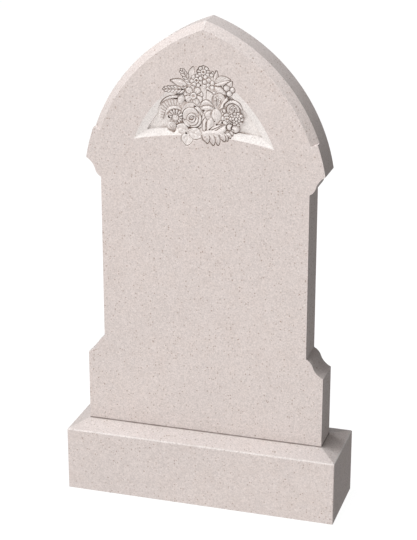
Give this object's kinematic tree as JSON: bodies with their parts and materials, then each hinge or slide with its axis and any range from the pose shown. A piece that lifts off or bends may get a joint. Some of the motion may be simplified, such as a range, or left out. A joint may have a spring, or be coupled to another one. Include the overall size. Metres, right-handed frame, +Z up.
{
  "type": "headstone",
  "caption": "Upright stone grave memorial: a waisted slab with a pointed, chamfered arch and a bouquet carved in a sunk panel, on a low rectangular base.",
  "frame": {"origin": "middle of the base's underside, on the ground", "axes": "+Z up, the carved face looks along -Y, +X to the right as seen from the front"},
  "size_m": [0.61, 0.178, 1.0703],
  "materials": {
    "tablet_stone": "fine rubbed limestone, pale pinkish beige, the carving a little whiter and fresher",
    "base_stone": "fine rubbed limestone, pale pinkish beige, with small brown specks"
  },
  "bodies": {
    "root": {"tablet": "tablet_stone", "base": "base_stone"}
  },
  "joints": []
}
